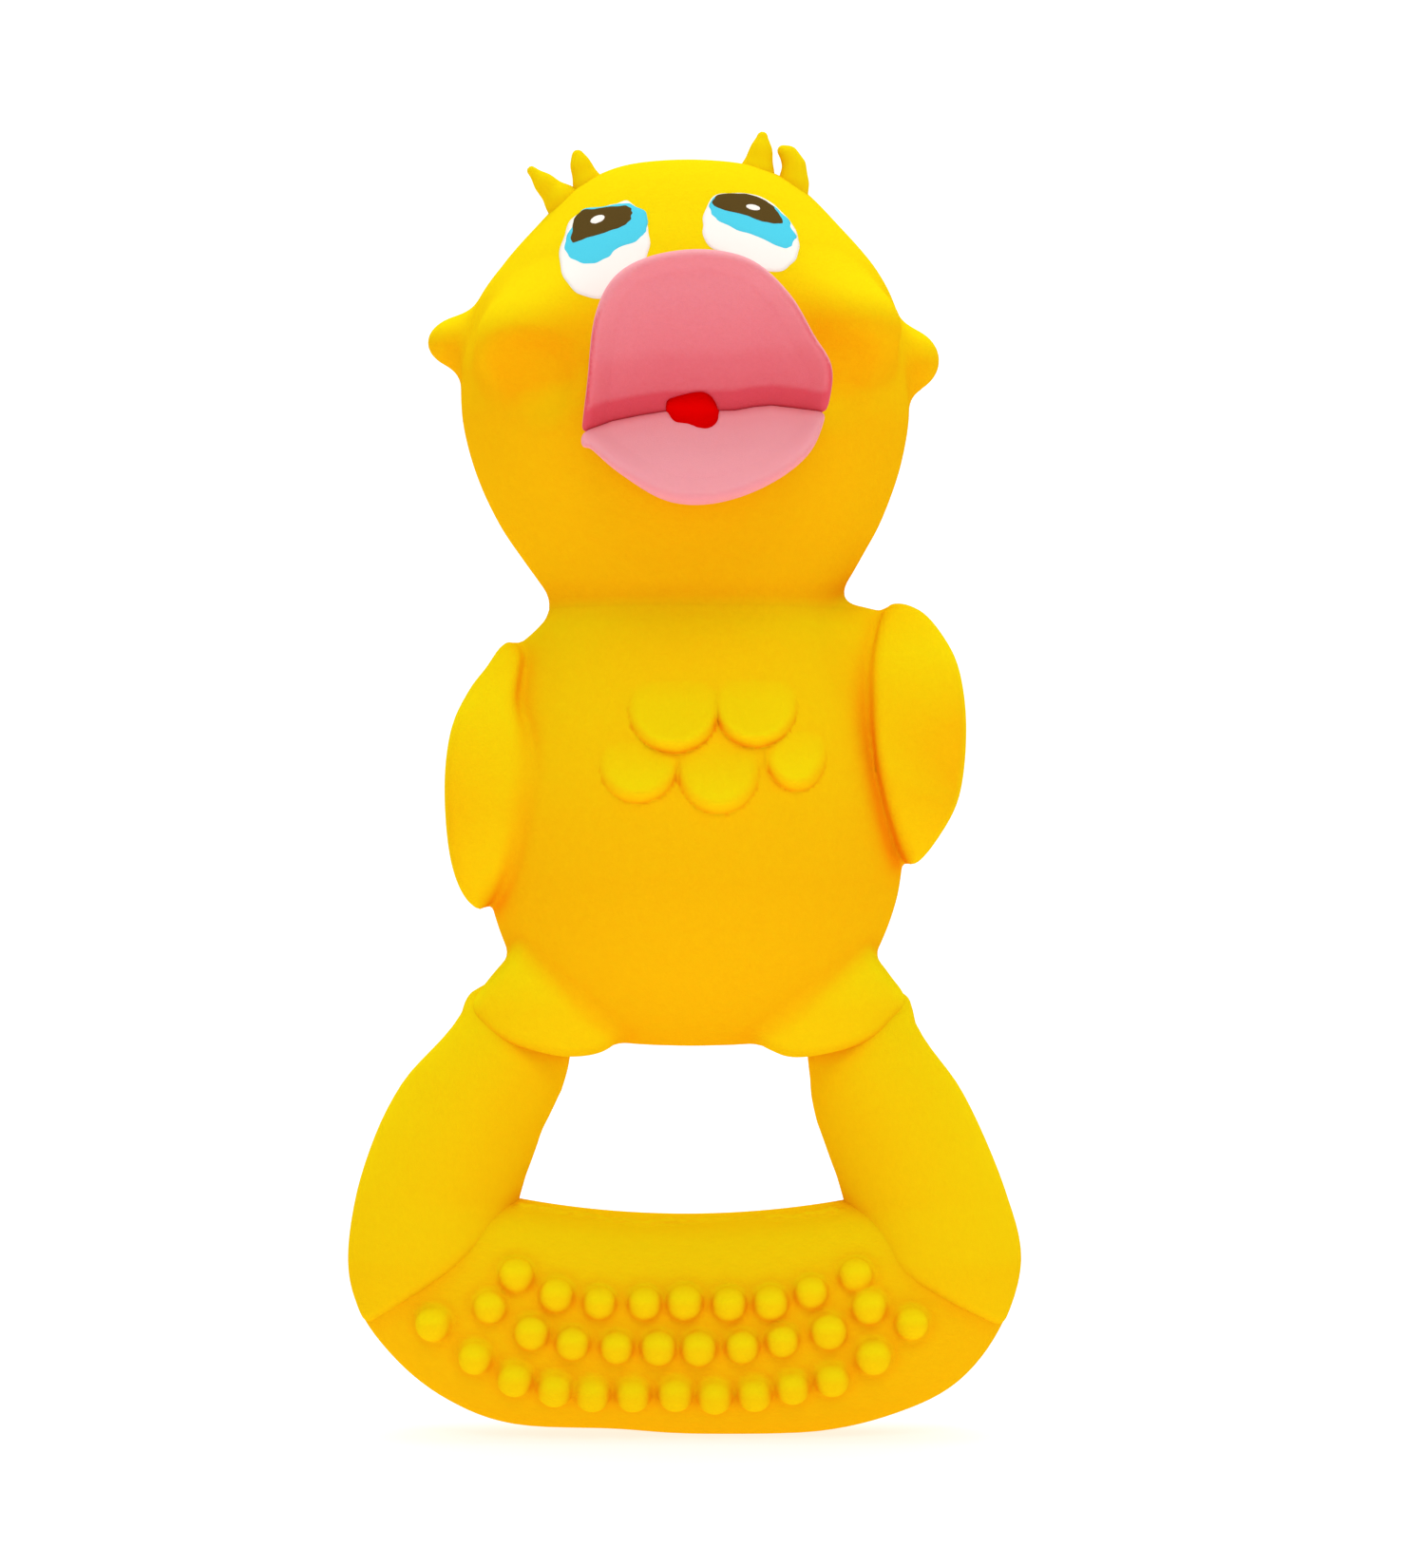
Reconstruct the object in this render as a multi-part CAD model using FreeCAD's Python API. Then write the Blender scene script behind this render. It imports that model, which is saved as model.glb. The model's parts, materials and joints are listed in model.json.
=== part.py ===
"""Squeaky rubber chick on a studded loop handle: a hollow latex moulding with a plastic squeaker in its back.

Millimetres, +Z up, the face looks along -Y. The origin is the centre of the flat under the foot bar.
The moulding is built in zones, one solid for each stretch of skin that keeps its shape while the
rubber bends: head, neck band, torso, belly, legs and foot bar. Each zone is hollow, WALL thick.
"""

import FreeCAD, Part

import math
import os
import random

from FreeCAD import Vector

X_AXIS = Vector(1, 0, 0)
Y_AXIS = Vector(0, 1, 0)
Z_AXIS = Vector(0, 0, 1)

# Driving dimensions
WALL = 2.4                  # latex skin
CLEAR = 0.3                 # between zones that move against each other
PAINT = 0.25                # one coat of paint
SIDES = {"left": -1, "right": 1}

# Head and torso, both turned about an upright line: (height, radius) down each outline
HEAD_OUTLINE = [(156.0, 4.0), (153.6, 12.0), (146.0, 20.8), (138.5, 25.6), (130.0, 27.6), (121.5, 26.7),
                (113.5, 23.5), (106.5, 20.4), (99.0, 16.0)]
TORSO_OUTLINE = [(104.5, 13.0), (100.5, 18.0), (95.0, 21.4), (87.0, 24.6), (78.0, 26.0), (68.0, 25.2),
                 (60.0, 22.4), (53.5, 17.2), (49.0, 9.5), (47.6, 5.0)]
TORSO_X = 0.6
NECK = Vector(1.2, 0, 101.0)        # the point that the neck bends about
NECK_RADIUS = 18.0
NECK_NOTCH_DEG = 12.0               # free angle above and below the neck's widest line
NECK_BAND_HALF = 8.0

# Belly zone that gives when pressed
BELLY = Vector(2.0, 0, 76.4)
BELLY_HALF_WIDTH, BELLY_HALF_HEIGHT = 17.5, 15.0

# Wings: radius and half depth of each pad, and how far out its edge and how high its middle stand
WING_RADIUS, WING_HALF_DEPTH = 20.0, 13.0
WING_TOP = 94.0                     # below the free space round the neck
WINGS = {"left": (29.3, 79.2), "right": (33.8, 86.0)}

# Thigh cuffs: a rounded frill over the top of each leg, hemmed level
CUFF_RADIUS, CUFF_X, CUFF_Z, CUFF_HEM_Z = 11.2, 16.2, 53.4, 46.8

# Legs: hip centre, then (x, z, radius) down the left leg; the right one mirrors it
HIP_X, HIP_Z, HIP_RADIUS = 20.0, 51.0, 7.2
LEG_STATIONS = [(20.6, 49.8, 7.0), (23.6, 45.4, 7.7), (28.0, 36.5, 8.9), (30.6, 28.0, 9.6), (31.0, 20.5, 9.8)]
SWING_DEG = 15.0

# Foot bar: a round bar with ball ends, and the ball that each leg ends in
BAR_RADIUS, BAR_Z, BAR_BALL_X = 13.6, 13.2, 22.0
FOOT_BALL = Vector(31.0, 0, 20.5)
FOOT_BALL_RADIUS = 10.3

# Chew nubs: (count, half span, middle height, rise at the ends, centre x) of each row
NUB_RADIUS = 1.95
NUB_RISE = 1.9
NUB_ROWS = {"upper": (9, 20.7, 16.8, 3.6, -0.3), "middle": (10, 23.2, 11.6, 4.7, -1.0),
            "lower": (13, 29.1, 5.5, 8.8, -1.3)}

# Bill: a round trumpet, its rim and root radii, its crease and depths, and the throat hole in the crease
BILL_X, BILL_Z = 2.6, 126.9
BILL_RIM_RADIUS, BILL_ROOT_RADIUS = 14.7, 12.2
BILL_CREASE = 123.0
BILL_RIM_Y, BILL_ROOT_Y, BILL_CREASE_Y = -39.0, -20.0, -31.5
JAW_BACK_Y = -28.9
THROAT_X, THROAT_Z, THROAT_RADIUS = 0.9, 123.4, 2.7
THROAT_RECESS, THROAT_CLEAR = 1.2, 0.6

# Cheek nubs: radius, how far out the middle stands, and its height on each side
CHEEK_NUB_RADIUS, CHEEK_NUB_X = 4.2, 27.0
CHEEK_NUB_Z = {"left": 133.6, "right": 132.0}

# Tufts: foot on the head (x, y), lean from upright towards +X, length and root radius
TUFTS = {"left_outer_tuft": (-16.2, -2.0, -38.0, 5.4, 1.9), "left_inner_tuft": (-12.0, -2.0, -14.0, 3.7, 1.9),
         "right_inner_tuft": (9.0, -2.0, 0.0, 4.4, 2.1), "right_outer_tuft": (13.8, -2.0, -12.0, 5.0, 1.8)}
TUFT_TIP_RADIUS, TUFT_FOOT_RISE = 0.9, 0.6
TUFT_FLEX_DEG = 15.0

# Painted eyes: (x, z, half width, half height) of each coat, in the order in which they are painted
EYES = {"left": {"white": (-9.6, 143.3, 5.4, 6.1), "iris": (-9.6, 145.2, 4.9, 4.0),
                 "pupil": (-10.0, 146.6, 3.9, 2.3), "glint": (-10.4, 147.2, 1.0, 0.6)},
        "right": {"white": (7.9, 145.5, 5.8, 5.0), "iris": (8.1, 146.8, 5.2, 3.5),
                  "pupil": (7.8, 148.3, 4.3, 1.9), "glint": (8.1, 148.6, 1.0, 0.5)}}
EYE_LEAN_DEG = {"left": 12.0, "right": -14.0}

# Squeaker in the back: a flanged cup, a reed block, a reed with its clamp, and a cap
SQUEAKER_Z = 73.0
GROMMET_RADIUS, CUP_RADIUS, CUP_BORE = 11.0, 8.0, 6.8
FLANGE_RADIUS, FLANGE_THICK = 9.2, 1.2
CUP_INNER_Y, CUP_OUTER_Y = 13.8, 24.3
REED_LENGTH, REED_WIDTH, REED_THICK = 8.0, 2.4, 0.3


def spun(outline, x=0.0, inset=0.0):
    """A solid turned about an upright line at x, drawn in (or, below zero, let out) by an inset."""
    high, low = outline[0][0], outline[-1][0]
    middle, widest = (high + low) / 2, max(r for z, r in outline)
    up, out = 1 - inset / (high - middle), 1 - inset / widest
    rim = [Vector(r * out, 0, middle + (z - middle) * up) for z, r in outline]
    curve = Part.BSplineCurve()
    curve.interpolate(rim)
    top, bottom = Vector(0, 0, rim[0].z), Vector(0, 0, rim[-1].z)
    edges = [Part.makeLine(top, rim[0]), curve.toShape(), Part.makeLine(rim[-1], bottom)]
    edges.append(Part.makeLine(bottom, top))
    solid = Part.Face(Part.Wire(edges)).revolve(Vector(0, 0, 0), Z_AXIS, 360)
    solid.translate(Vector(x, 0, 0))
    return solid


def head_solid(inset=0.0):
    return spun(HEAD_OUTLINE, inset=inset)


def torso_solid(inset=0.0):
    return spun(TORSO_OUTLINE, x=TORSO_X, inset=inset)


def rod(radius, start, end):
    """A cylinder from one point to another."""
    way = end - start
    return Part.makeCylinder(radius, way.Length, start, way)


def surface_y(solid, x, z, side=-1):
    """Where a line along Y leaves the solid, on its front or on its back."""
    line = Part.makeLine(Vector(x, 0, z), Vector(x, side * 80, z))
    box = line.common(solid).BoundBox
    return box.YMin if side < 0 else box.YMax


def front_prism(points, y_from=-60.0, y_to=0.0):
    """A closed smooth outline of (x, z) points, carried along Y."""
    curve = Part.BSplineCurve()
    curve.interpolate([Vector(x, y_from, z) for x, z in points], PeriodicFlag=True)
    return Part.Face(Part.Wire(curve.toShape())).extrude(Vector(0, y_to - y_from, 0))


def oval_points(centre, half, lean_deg=0.0, count=8):
    """Points round a leaning oval in the XZ plane."""
    lean = math.radians(lean_deg)
    points = []
    for k in range(count):
        a = 2 * math.pi * k / count
        u, v = half[0] * math.cos(a), half[1] * math.sin(a)
        points.append((centre[0] + u * math.cos(lean) - v * math.sin(lean),
                       centre[1] + u * math.sin(lean) + v * math.cos(lean)))
    return points


def cone_notch():
    """The wedge of free space all round the neck, above and below its widest line."""
    reach, rise = 34.0, 34.0 * math.tan(math.radians(NECK_NOTCH_DEG))
    corners = [Vector(0, 0, 0), Vector(reach, 0, rise), Vector(reach, 0, -rise), Vector(0, 0, 0)]
    notch = Part.Face(Part.makePolygon(corners)).revolve(Vector(0, 0, 0), Z_AXIS, 360)
    notch.translate(NECK)
    return notch


def below(z, size=200.0):
    return Part.makeBox(size, size, size, Vector(-size / 2, -size / 2, z - size))


def above(z, size=200.0):
    return Part.makeBox(size, size, size, Vector(-size / 2, -size / 2, z))


# Head, neck and torso shells

def neck_ball(gap=0.0):
    return Part.makeSphere(NECK_RADIUS + gap, NECK)


def neck_band():
    ring = neck_ball().cut(neck_ball(-WALL + 0.2))
    return ring.cut(above(NECK.z + NECK_BAND_HALF)).cut(below(NECK.z - NECK_BAND_HALF))


def head_shell(head, tufts):
    shell = head.cut(head_solid(WALL)).cut(neck_ball(CLEAR)).cut(cone_notch()).cut(below(NECK.z))
    for name, foot in tufts.items():
        shell = shell.cut(tuft_pocket(name, foot))
    return max(shell.Solids, key=lambda s: s.Volume)


def belly_prism(gap=0.0):
    points = oval_points((BELLY.x, BELLY.z), (BELLY_HALF_WIDTH + gap, BELLY_HALF_HEIGHT + gap))
    return front_prism(points)


def torso_shell(torso):
    shell = torso.cut(torso_solid(WALL)).cut(neck_ball(CLEAR)).cut(cone_notch()).cut(above(NECK.z))
    shell = shell.cut(belly_prism(CLEAR))
    for sign in SIDES.values():
        shell = shell.cut(leg_room(sign))
    shell = shell.cut(rod(GROMMET_RADIUS, Vector(0, 5, SQUEAKER_Z), Vector(0, 40, SQUEAKER_Z)))
    return max(shell.Solids, key=lambda s: s.Volume)


def belly_panel(torso):
    return torso.cut(torso_solid(WALL)).common(belly_prism())


def feather(torso, x, z, half_width, rise):
    """One rounded feather on the chest: the cap of a sphere that stands out of the torso by its rise."""
    y = surface_y(torso, x, z)
    radius = (half_width ** 2 + rise ** 2) / (2 * rise)
    inward = Vector(TORSO_X - x, -y, 0).normalize()
    centre = Vector(x, y, z) + inward * (radius - rise)
    return Part.makeSphere(radius, centre).cut(torso).common(belly_prism())


def chest_feathers(torso):
    """The upper pair, whose tips meet, and the three feathers that peep out below it."""
    upper = [feather(torso, x, z, 5.0, 1.9) for x, z in ((-1.6, 86.4), (8.6, 87.0))]
    upper[1] = upper[1].cut(upper[0])
    lower = [feather(torso, x, z, 4.2, 1.5) for x, z in ((-6.2, 81.2), (3.7, 79.8), (13.0, 81.9))]
    lower = [f.cut(upper[0]).cut(upper[1]) for f in lower]
    return Part.makeCompound(upper), Part.makeCompound(lower)


def wing(torso, side):
    """A thick pad with a flat front and back that lies against the side of the torso."""
    reach, height = WINGS[side]
    pad = Part.makeSphere(WING_RADIUS, Vector(SIDES[side] * (reach - WING_RADIUS), 0, height))
    slab = Part.makeBox(200, 2 * WING_HALF_DEPTH, 200, Vector(-100, -WING_HALF_DEPTH, 0))
    pad = pad.common(slab).cut(torso).cut(above(WING_TOP))
    return max(pad.Solids, key=lambda s: s.Volume)


def thigh_cuff(torso, sign):
    """The frill of feathers over the top of a leg."""
    cuff = Part.makeSphere(CUFF_RADIUS, Vector(sign * CUFF_X, 0, CUFF_Z)).cut(below(CUFF_HEM_Z))
    cuff = cuff.cut(torso).cut(leg_room(sign))
    return max(cuff.Solids, key=lambda s: s.Volume)


# Legs and foot bar

def leg_tube(sign, extra=0.0):
    """The tapering leg as a loft of circles square to its run, with its hip ball."""
    centres = [Vector(sign * x, 0, z) for x, z, r in LEG_STATIONS]
    circles = []
    for k, (x, z, radius) in enumerate(LEG_STATIONS):
        way = centres[min(k + 1, len(centres) - 1)] - centres[max(k - 1, 0)]
        circles.append(Part.Wire(Part.makeCircle(radius + extra, centres[k], way)))
    tube = Part.makeLoft(circles, True)
    return tube.fuse(Part.makeSphere(HIP_RADIUS + extra, Vector(sign * HIP_X, 0, HIP_Z)))


def leg_room(sign):
    """The room that a leg's top takes as the handle swings fore and aft about the hips."""
    places = []
    for share in (-1, 0, 1):
        place = leg_tube(sign, extra=CLEAR)
        place.rotate(Vector(0, 0, HIP_Z), X_AXIS, share * SWING_DEG)
        places.append(place)
    return places[0].fuse(places[1:])


def bar_solid(inset=0.0):
    """The bar with its ball ends, turned about its own length."""
    r = BAR_RADIUS - inset
    ends = [Vector(-BAR_BALL_X, 0, 0), Vector(BAR_BALL_X, 0, 0)]
    corners = [end + Vector(0, 0, r) for end in ends]
    tips = [ends[0] - Vector(r, 0, 0), ends[1] + Vector(r, 0, 0)]
    slant = r * math.sqrt(0.5)
    arcs = [Part.Arc(tips[0], ends[0] + Vector(-slant, 0, slant), corners[0]).toShape(),
            Part.makeLine(corners[0], corners[1]),
            Part.Arc(corners[1], ends[1] + Vector(slant, 0, slant), tips[1]).toShape(),
            Part.makeLine(tips[1], tips[0])]
    bar = Part.Face(Part.Wire(arcs)).revolve(Vector(0, 0, 0), X_AXIS, 360)
    bar.translate(Vector(0, 0, BAR_Z))
    return bar


def foot_bar():
    outer = bar_solid().cut(below(0))
    return outer.cut(bar_solid(WALL).cut(below(WALL)))


def leg(sign):
    foot = Part.makeSphere(FOOT_BALL_RADIUS, Vector(sign * FOOT_BALL.x, 0, FOOT_BALL.z))
    hollow = Part.makeSphere(FOOT_BALL_RADIUS - WALL, Vector(sign * FOOT_BALL.x, 0, FOOT_BALL.z))
    shell = leg_tube(sign).fuse(foot).cut(leg_tube(sign, extra=-WALL)).cut(hollow)
    shell = shell.cut(bar_solid())
    return max(shell.Solids, key=lambda s: s.Volume)


def nub_places(row):
    """(x, z) of each nub: rows curve up towards their ends, with a little hand-made unevenness."""
    count, half_span, middle, rise, shift = NUB_ROWS[row]
    uneven = random.Random(row)
    for k in range(count):
        share = 2 * k / (count - 1) - 1
        x = shift + half_span * share + uneven.uniform(-0.3, 0.3)
        yield x, middle + rise * abs(share) ** 3.4 + uneven.uniform(-0.2, 0.2)


def nub_row(bar, row):
    nubs = []
    for x, z in nub_places(row):
        y = surface_y(bar, x, z)
        crown = Vector(x, y - NUB_RISE + NUB_RADIUS, z)
        stalk = rod(NUB_RADIUS, Vector(x, y + 3, z), crown)
        nubs.append(stalk.fuse(Part.makeSphere(NUB_RADIUS, crown)).cut(bar))
    return Part.makeCompound([max(n.Solids, key=lambda s: s.Volume) for n in nubs])


# Head details

def bill_cone(gap=0.0):
    length = BILL_ROOT_Y - BILL_RIM_Y
    root = Vector(BILL_X, BILL_ROOT_Y, BILL_Z)
    return Part.makeCone(BILL_ROOT_RADIUS + gap, BILL_RIM_RADIUS + gap, length, root, Y_AXIS * -1)


def bill_block():
    """The whole bill: a trumpet that flares from root to rim, with a V across the front down to the crease."""
    block = bill_cone()
    top, bottom = BILL_Z + BILL_RIM_RADIUS + 1, BILL_Z - BILL_RIM_RADIUS - 1
    mouth = [(BILL_CREASE_Y, BILL_CREASE), (BILL_RIM_Y, top), (BILL_RIM_Y - 20, top), (BILL_RIM_Y - 20, bottom),
             (BILL_RIM_Y, bottom), (BILL_CREASE_Y, BILL_CREASE)]
    mouth = Part.Face(Part.makePolygon([Vector(-40, y, z) for y, z in mouth]))
    return block.cut(mouth.extrude(Vector(80, 0, 0)))


def throat():
    """The red throat seen through the hole in the crease."""
    front = Vector(THROAT_X, BILL_CREASE_Y + THROAT_RECESS, THROAT_Z)
    return rod(THROAT_RADIUS, Vector(THROAT_X, BILL_ROOT_Y, THROAT_Z), front)


def upper_bill(head):
    return max(bill_block().cut(below(BILL_CREASE + CLEAR / 2)).cut(head).cut(throat()).Solids,
               key=lambda s: s.Volume)


def lower_bill():
    """The half that drops open, with room for the throat and, behind it, for its travel."""
    jaw = bill_block().cut(above(BILL_CREASE - CLEAR / 2))
    hole = rod(THROAT_RADIUS + THROAT_CLEAR, Vector(THROAT_X, -16, THROAT_Z), Vector(THROAT_X, -60, THROAT_Z))
    jaw = jaw.cut(hole)
    behind = Part.makeBox(80, 40, 80, Vector(-40, JAW_BACK_Y, 80))
    return max(jaw.cut(behind).Solids, key=lambda s: s.Volume)


def cheek_nub(head, side):
    """The small ear-like bump on each side of the head."""
    middle = Vector(SIDES[side] * CHEEK_NUB_X, 0, CHEEK_NUB_Z[side])
    return Part.makeSphere(CHEEK_NUB_RADIUS, middle).cut(head)


def tuft_foot(head, name):
    x, y, lean, length, radius = TUFTS[name]
    line = Part.makeLine(Vector(x, y, 130), Vector(x, y, 180))
    return Vector(x, y, line.common(head).BoundBox.ZMax + TUFT_FOOT_RISE)


def tuft(name, foot):
    """A tapering rubber point that stands on a ball seated in the head."""
    x, y, lean, length, radius = TUFTS[name]
    stem_length = length - TUFT_TIP_RADIUS
    stem = Part.makeCone(radius * 0.86, TUFT_TIP_RADIUS, stem_length, foot, Z_AXIS)
    stem = stem.fuse(Part.makeSphere(radius, foot))
    stem = stem.fuse(Part.makeSphere(TUFT_TIP_RADIUS, foot + Vector(0, 0, stem_length)))
    stem.rotate(foot, Y_AXIS, lean)
    return stem


def tuft_pocket(name, foot):
    """The seat of a tuft's ball, opening into a cone for the tuft to bend in."""
    radius, lean = TUFTS[name][4] + CLEAR, TUFTS[name][2]
    depth = 6.0
    mouth = radius + depth * math.tan(math.radians(TUFT_FLEX_DEG + 4))
    flare = Part.makeCone(radius, mouth, depth, foot, Z_AXIS)
    pocket = flare.fuse(Part.makeSphere(radius, foot))
    pocket.rotate(foot, Y_AXIS, lean)
    return pocket


# Painted eyes: each coat is a thin shell over the one below, inside its own outline

def coat(outline, layer):
    shell = head_solid(-PAINT * (layer + 1)).cut(head_solid(-PAINT * layer))
    return shell.common(front_prism(outline)).cut(bill_cone(0.1))


def eye(side):
    """The coats of one eye by node name, each one layer further out than the last."""
    coats = {}
    for layer, (name, (x, z, half_width, half_height)) in enumerate(EYES[side].items()):
        outline = oval_points((x, z), (half_width, half_height), EYE_LEAN_DEG[side])
        coats[f"{side}_eye_{name}"] = coat(outline, layer)
    return coats


# Squeaker

def grommet(torso):
    """The thick latex lip that grips the squeaker's flange."""
    ring = rod(GROMMET_RADIUS, Vector(0, CUP_OUTER_Y - 6.5, SQUEAKER_Z), Vector(0, 40, SQUEAKER_Z)).common(torso)
    ring = ring.cut(rod(CUP_RADIUS, Vector(0, 5, SQUEAKER_Z), Vector(0, 40, SQUEAKER_Z)))
    return ring.cut(flange())


def flange():
    y = CUP_OUTER_Y - 4.2
    return rod(FLANGE_RADIUS, Vector(0, y, SQUEAKER_Z), Vector(0, y + FLANGE_THICK, SQUEAKER_Z))


def squeaker_cup():
    """The plastic cup, open to the outside, with an air hole in its floor."""
    cup = rod(CUP_RADIUS, Vector(0, CUP_INNER_Y, SQUEAKER_Z), Vector(0, CUP_OUTER_Y, SQUEAKER_Z)).fuse(flange())
    cup = cup.cut(rod(CUP_BORE, Vector(0, CUP_INNER_Y + 1.2, SQUEAKER_Z), Vector(0, 40, SQUEAKER_Z)))
    return cup.cut(rod(1.6, Vector(0, 0, SQUEAKER_Z), Vector(0, 40, SQUEAKER_Z)))


def reed_block():
    """The disc that carries the reed over its slot."""
    y = CUP_INNER_Y + 1.2
    disc = rod(CUP_BORE, Vector(0, y, SQUEAKER_Z), Vector(0, y + 2.4, SQUEAKER_Z))
    slot = Part.makeBox(REED_WIDTH - 0.8, 10, REED_LENGTH - 3.4,
                        Vector(-(REED_WIDTH - 0.8) / 2, y - 2, SQUEAKER_Z - REED_LENGTH / 2 + 0.6))
    return disc.cut(slot)


def reed_root():
    return Vector(0, CUP_INNER_Y + 3.6 + 0.15, SQUEAKER_Z + REED_LENGTH / 2 - 1.8)


def reed():
    """The thin tongue, which ends just short of the clamp that it bends from."""
    root = reed_root()
    return Part.makeBox(REED_WIDTH, REED_THICK, REED_LENGTH - 2.1,
                        Vector(-REED_WIDTH / 2, root.y, root.z - (REED_LENGTH - 1.8)))


def reed_clamp():
    root = reed_root()
    y = CUP_INNER_Y + 3.6
    return Part.makeBox(4.4, 1.6, 2.0, Vector(-2.2, y, root.z))


def squeaker_cap():
    """The outer disc, with a ring of sound holes round the middle one."""
    cap = rod(CUP_BORE, Vector(0, CUP_OUTER_Y - 1.4, SQUEAKER_Z), Vector(0, CUP_OUTER_Y - 0.2, SQUEAKER_Z))
    holes = [(0, 0)] + [(3.4 * math.cos(k * math.pi / 3), 3.4 * math.sin(k * math.pi / 3)) for k in range(6)]
    for x, z in holes:
        cap = cap.cut(rod(0.8, Vector(x, 0, SQUEAKER_Z + z), Vector(x, 40, SQUEAKER_Z + z)))
    return cap


def build():
    """Every node's shape by name."""
    head = head_solid()
    torso = torso_solid()
    bar = bar_solid()
    tufts = {name: tuft_foot(head, name) for name in TUFTS}
    upper_feathers, lower_feathers = chest_feathers(torso)
    nodes = {
        "head_skin": head_shell(head, tufts).cut(throat()),
        "neck_band": neck_band(),
        "torso_skin": torso_shell(torso),
        "belly_panel": belly_panel(torso),
        "upper_chest_feathers": upper_feathers,
        "lower_chest_feathers": lower_feathers,
        "upper_bill": upper_bill(head),
        "lower_bill": lower_bill(),
        "throat": throat(),
        "foot_bar": foot_bar(),
        "squeaker_grommet": grommet(torso),
        "squeaker_cup": squeaker_cup(),
        "squeaker_cap": squeaker_cap(),
        "reed_block": reed_block(),
        "reed_clamp": reed_clamp(),
        "squeaker_reed": reed(),
    }
    for side, sign in SIDES.items():
        nodes[f"{side}_wing"] = wing(torso, side)
        nodes[f"{side}_thigh_cuff"] = thigh_cuff(torso, sign)
        nodes[f"{side}_leg"] = leg(sign)
        nodes[f"{side}_cheek_nub"] = cheek_nub(head, side)
        nodes.update(eye(side))
    for name, foot in tufts.items():
        nodes[name] = tuft(name, foot)
    for row in NUB_ROWS:
        nodes[f"{row}_chew_nubs"] = nub_row(bar, row)
    return nodes


def main():
    os.makedirs("parts", exist_ok=True)
    for name, shape in build().items():
        whole = all(s.isValid() and s.Volume > 0 for s in shape.Solids) and shape.Solids
        box = shape.BoundBox
        print(f"{name:24s} {'ok ' if whole else 'BAD'} solids {len(shape.Solids):2d} "
              f"volume {shape.Volume:9.1f}  x {box.XMin:6.1f} {box.XMax:6.1f}  "
              f"y {box.YMin:6.1f} {box.YMax:6.1f}  z {box.ZMin:6.1f} {box.ZMax:6.1f}")
        Part.makeCompound(shape.Solids).exportStep(f"parts/{name}.step")


main()
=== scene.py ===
import json
import math

import bpy
import numpy as np
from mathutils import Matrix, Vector


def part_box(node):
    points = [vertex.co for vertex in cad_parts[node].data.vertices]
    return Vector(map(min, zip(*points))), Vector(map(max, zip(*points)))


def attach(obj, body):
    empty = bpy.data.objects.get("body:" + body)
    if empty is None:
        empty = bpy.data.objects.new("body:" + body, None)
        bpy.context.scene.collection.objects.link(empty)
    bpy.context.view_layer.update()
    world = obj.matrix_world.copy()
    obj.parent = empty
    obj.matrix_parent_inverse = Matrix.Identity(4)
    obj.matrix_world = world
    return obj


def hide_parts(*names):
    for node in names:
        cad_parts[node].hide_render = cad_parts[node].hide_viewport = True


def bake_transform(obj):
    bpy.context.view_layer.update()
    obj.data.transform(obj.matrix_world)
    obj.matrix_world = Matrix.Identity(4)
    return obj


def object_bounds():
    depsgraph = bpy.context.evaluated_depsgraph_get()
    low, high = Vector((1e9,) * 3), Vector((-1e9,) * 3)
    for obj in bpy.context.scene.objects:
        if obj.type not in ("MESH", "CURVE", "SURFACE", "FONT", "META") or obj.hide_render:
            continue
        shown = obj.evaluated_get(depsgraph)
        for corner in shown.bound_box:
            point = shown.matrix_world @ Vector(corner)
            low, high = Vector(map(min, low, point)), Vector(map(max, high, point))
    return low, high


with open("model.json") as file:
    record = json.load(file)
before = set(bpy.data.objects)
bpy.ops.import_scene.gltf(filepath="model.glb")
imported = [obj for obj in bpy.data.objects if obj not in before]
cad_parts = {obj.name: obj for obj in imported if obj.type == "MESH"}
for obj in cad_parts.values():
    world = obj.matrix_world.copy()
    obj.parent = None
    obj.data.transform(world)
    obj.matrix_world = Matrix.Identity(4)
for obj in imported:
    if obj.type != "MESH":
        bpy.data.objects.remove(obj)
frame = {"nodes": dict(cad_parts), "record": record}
cad_box = [[float(v) for v in corner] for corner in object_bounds()]


# Places, all from the frame, in millimetres. Shapes are offsets from these places.

def box(*nodes):
    """The lowest and highest corners of some CAD nodes together."""
    corners = np.array([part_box(node) for node in nodes]) * 1000
    return corners[:, 0].min(0), corners[:, 1].max(0)


def middle(*nodes):
    low, high = box(*nodes)
    return (low + high) / 2


def joint(name):
    """Where a joint turns."""
    found = [j for j in frame["record"]["behaviour"]["joints"] if j["name"] == name]
    return np.array(found[0]["pos_m"]) * 1000


def moved(points, x, z):
    return [(x + dx, z + dz) for dx, dz in points]


NECK = joint("neck_turn")
HIP = joint("handle_swing")
JAW_HINGE = joint("bill_open")
BAR_LOW, BAR_HIGH = box("foot_bar")
BILL_MIDDLE = middle("upper_bill", "lower_bill")
BILL_RIM_Y = box("upper_bill")[0][1] + 0.4
THROAT = middle("throat")
SQUEAKER = middle("squeaker_cup")
SQUEAKER_RADIUS = (box("squeaker_cap")[1][0] - box("squeaker_cap")[0][0]) / 2 + 1.2


# Distance fields: below zero is inside

def smin(a, b, k):
    h = np.clip(0.5 + 0.5 * (b - a) / k, 0, 1)
    return b + (a - b) * h - k * h * (1 - h)


def smax(a, b, k):
    return -smin(-a, -b, k)


def turned(u, v, degrees):
    c, s = math.cos(math.radians(degrees)), math.sin(math.radians(degrees))
    return u * c + v * s, v * c - u * s


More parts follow.
